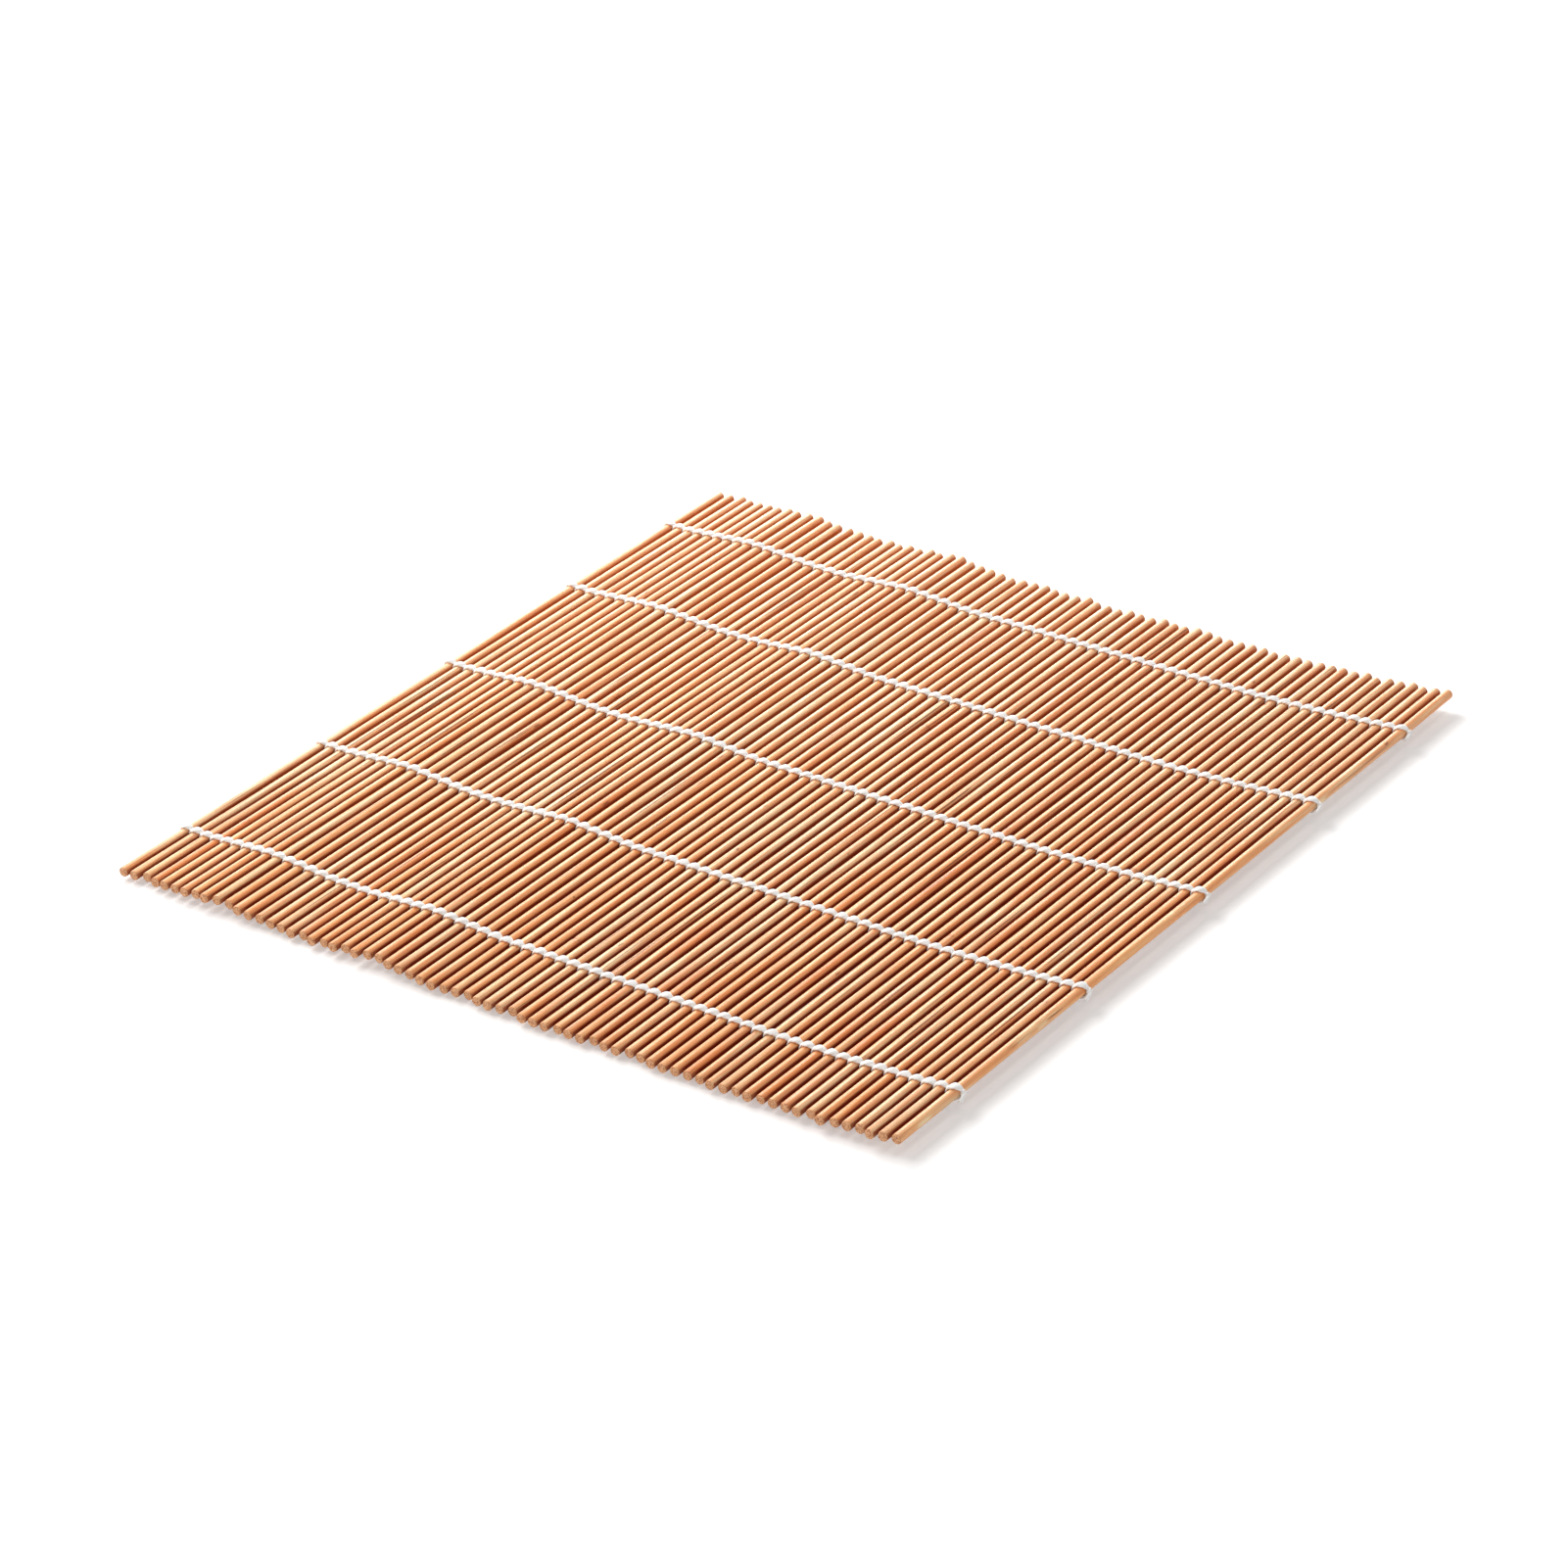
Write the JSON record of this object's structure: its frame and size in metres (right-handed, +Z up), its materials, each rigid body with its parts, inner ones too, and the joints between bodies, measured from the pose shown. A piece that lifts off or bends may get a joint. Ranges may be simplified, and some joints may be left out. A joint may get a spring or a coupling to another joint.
{
  "type": "sushi rolling mat",
  "caption": "Flexible kitchen rolling mat of round bamboo sticks laid side by side and bound by rows of twined cotton thread; it lies nearly flat and rolls up into a tube.",
  "frame": {"origin": "on the table, under the middle of the mat's outline", "axes": "+X across the sticks, from the edge where the threads are folded in two to the raised edge with the knots; +Y along the sticks; +Z up"},
  "size_m": [0.2294, 0.2422, 0.0064],
  "materials": {
    "bamboo": "satin, carbonised bamboo with visible grain",
    "cotton": "soft twined white cotton thread"
  },
  "bodies": {
    "link_01": {"slats_01": "bamboo", "binding_01": "cotton"},
    "link_02": {"slats_02": "bamboo", "binding_02": "cotton"},
    "link_03": {"slats_03": "bamboo", "binding_03": "cotton"},
    "link_04": {"slats_04": "bamboo", "binding_04": "cotton"},
    "link_05": {"slats_05": "bamboo", "binding_05": "cotton"},
    "link_06": {"slats_06": "bamboo", "binding_06": "cotton"},
    "link_07": {"slats_07": "bamboo", "binding_07": "cotton"},
    "link_08": {"slats_08": "bamboo", "binding_08": "cotton"},
    "link_09": {"slats_09": "bamboo", "binding_09": "cotton"},
    "link_10": {"slats_10": "bamboo", "binding_10": "cotton"},
    "link_11": {"slats_11": "bamboo", "binding_11": "cotton"},
    "link_12": {"slats_12": "bamboo", "binding_12": "cotton"},
    "link_13": {"slats_13": "bamboo", "binding_13": "cotton"},
    "link_14": {"slats_14": "bamboo", "binding_14": "cotton"},
    "link_15": {"slats_15": "bamboo", "binding_15": "cotton"},
    "link_16": {"slats_16": "bamboo", "binding_16": "cotton"},
    "link_17": {"slats_17": "bamboo", "binding_17": "cotton"},
    "link_18": {"slats_18": "bamboo", "binding_18": "cotton"},
    "link_19": {"slats_19": "bamboo", "binding_19": "cotton"},
    "link_20": {"slats_20": "bamboo", "binding_20": "cotton"},
    "link_21": {"slats_21": "bamboo", "binding_21": "cotton"},
    "link_22": {"slats_22": "bamboo", "binding_22": "cotton"},
    "link_23": {"slats_23": "bamboo", "binding_23": "cotton"}
  },
  "joints": [
    {"name": "fold_01", "type": "hinge", "parent": "link_01", "child": "link_02", "pos_m": [-0.10449, 0, 0.00229], "axis": [0, -1, 0], "range_deg": [0, 20.42]},
    {"name": "fold_02", "type": "hinge", "parent": "link_02", "child": "link_03", "pos_m": [-0.09462, 0, 0.00302], "axis": [0, -1, 0], "range_deg": [0, 25.02]},
    {"name": "fold_03", "type": "hinge", "parent": "link_03", "child": "link_04", "pos_m": [-0.08475, 0, 0.00376], "axis": [0, -1, 0], "range_deg": [0, 33.89]},
    {"name": "fold_04", "type": "hinge", "parent": "link_04", "child": "link_05", "pos_m": [-0.07487, 0, 0.00302], "axis": [0, -1, 0], "range_deg": [0, 25.8]},
    {"name": "fold_05", "type": "hinge", "parent": "link_05", "child": "link_06", "pos_m": [-0.065, 0, 0.00229], "axis": [0, -1, 0], "range_deg": [0, 21.97]},
    {"name": "fold_06", "type": "hinge", "parent": "link_06", "child": "link_07", "pos_m": [-0.0551, 0, 0.00229], "axis": [0, -1, 0], "range_deg": [0, 22.4]},
    {"name": "fold_07", "type": "hinge", "parent": "link_07", "child": "link_08", "pos_m": [-0.04523, 0, 0.00302], "axis": [0, -1, 0], "range_deg": [0, 27.1]},
    {"name": "fold_08", "type": "hinge", "parent": "link_08", "child": "link_09", "pos_m": [-0.03536, 0, 0.00376], "axis": [0, -1, 0], "range_deg": [0, 36.07]},
    {"name": "fold_09", "type": "hinge", "parent": "link_09", "child": "link_10", "pos_m": [-0.02548, 0, 0.00302], "axis": [0, -1, 0], "range_deg": [0, 28.09]},
    {"name": "fold_10", "type": "hinge", "parent": "link_10", "child": "link_11", "pos_m": [-0.01561, 0, 0.00229], "axis": [0, -1, 0], "range_deg": [0, 24.38]},
    {"name": "fold_11", "type": "hinge", "parent": "link_11", "child": "link_12", "pos_m": [-0.00571, 0, 0.00229], "axis": [0, -1, 0], "range_deg": [0, 29.19]},
    {"name": "fold_12", "type": "hinge", "parent": "link_12", "child": "link_13", "pos_m": [0.00419, 0, 0.00229], "axis": [0, -1, 0], "range_deg": [0, 29.79]},
    {"name": "fold_13", "type": "hinge", "parent": "link_13", "child": "link_14", "pos_m": [0.01409, 0, 0.00229], "axis": [0, -1, 0], "range_deg": [0, 30.44]},
    {"name": "fold_14", "type": "hinge", "parent": "link_14", "child": "link_15", "pos_m": [0.02399, 0, 0.00229], "axis": [0, -1, 0], "range_deg": [0, 31.12]},
    {"name": "fold_15", "type": "hinge", "parent": "link_15", "child": "link_16", "pos_m": [0.03389, 0, 0.00229], "axis": [0, -1, 0], "range_deg": [0, 31.86]},
    {"name": "fold_16", "type": "hinge", "parent": "link_16", "child": "link_17", "pos_m": [0.04379, 0, 0.00229], "axis": [0, -1, 0], "range_deg": [0, 32.64]},
    {"name": "fold_17", "type": "hinge", "parent": "link_17", "child": "link_18", "pos_m": [0.05369, 0, 0.00229], "axis": [0, -1, 0], "range_deg": [0, 33.49]},
    {"name": "fold_18", "type": "hinge", "parent": "link_18", "child": "link_19", "pos_m": [0.06359, 0, 0.00229], "axis": [0, -1, 0], "range_deg": [0, 33.41]},
    {"name": "fold_19", "type": "hinge", "parent": "link_19", "child": "link_20", "pos_m": [0.07349, 0, 0.00246], "axis": [0, -1, 0], "range_deg": [0, 34.41]},
    {"name": "fold_20", "type": "hinge", "parent": "link_20", "child": "link_21", "pos_m": [0.08338, 0, 0.00281], "axis": [0, -1, 0], "range_deg": [0, 35.51]},
    {"name": "fold_21", "type": "hinge", "parent": "link_21", "child": "link_22", "pos_m": [0.09327, 0, 0.00333], "axis": [0, -1, 0], "range_deg": [0, 36.71]},
    {"name": "fold_22", "type": "hinge", "parent": "link_22", "child": "link_23", "pos_m": [0.10315, 0, 0.00402], "axis": [0, -1, 0], "range_deg": [0, 38.04]}
  ],
  "couplings": [
    {"joint": "fold_02", "follows": "fold_01", "ratio": 1.2254},
    {"joint": "fold_03", "follows": "fold_01", "ratio": 1.6593},
    {"joint": "fold_04", "follows": "fold_01", "ratio": 1.2632},
    {"joint": "fold_05", "follows": "fold_01", "ratio": 1.0756},
    {"joint": "fold_06", "follows": "fold_01", "ratio": 1.0969},
    {"joint": "fold_07", "follows": "fold_01", "ratio": 1.327},
    {"joint": "fold_08", "follows": "fold_01", "ratio": 1.766},
    {"joint": "fold_09", "follows": "fold_01", "ratio": 1.3753},
    {"joint": "fold_10", "follows": "fold_01", "ratio": 1.1938},
    {"joint": "fold_11", "follows": "fold_01", "ratio": 1.4294},
    {"joint": "fold_12", "follows": "fold_01", "ratio": 1.4589},
    {"joint": "fold_13", "follows": "fold_01", "ratio": 1.4904},
    {"joint": "fold_14", "follows": "fold_01", "ratio": 1.5239},
    {"joint": "fold_15", "follows": "fold_01", "ratio": 1.5599},
    {"joint": "fold_16", "follows": "fold_01", "ratio": 1.5985},
    {"joint": "fold_17", "follows": "fold_01", "ratio": 1.6401},
    {"joint": "fold_18", "follows": "fold_01", "ratio": 1.6362},
    {"joint": "fold_19", "follows": "fold_01", "ratio": 1.6852},
    {"joint": "fold_20", "follows": "fold_01", "ratio": 1.7388},
    {"joint": "fold_21", "follows": "fold_01", "ratio": 1.7976},
    {"joint": "fold_22", "follows": "fold_01", "ratio": 1.8626}
  ]
}
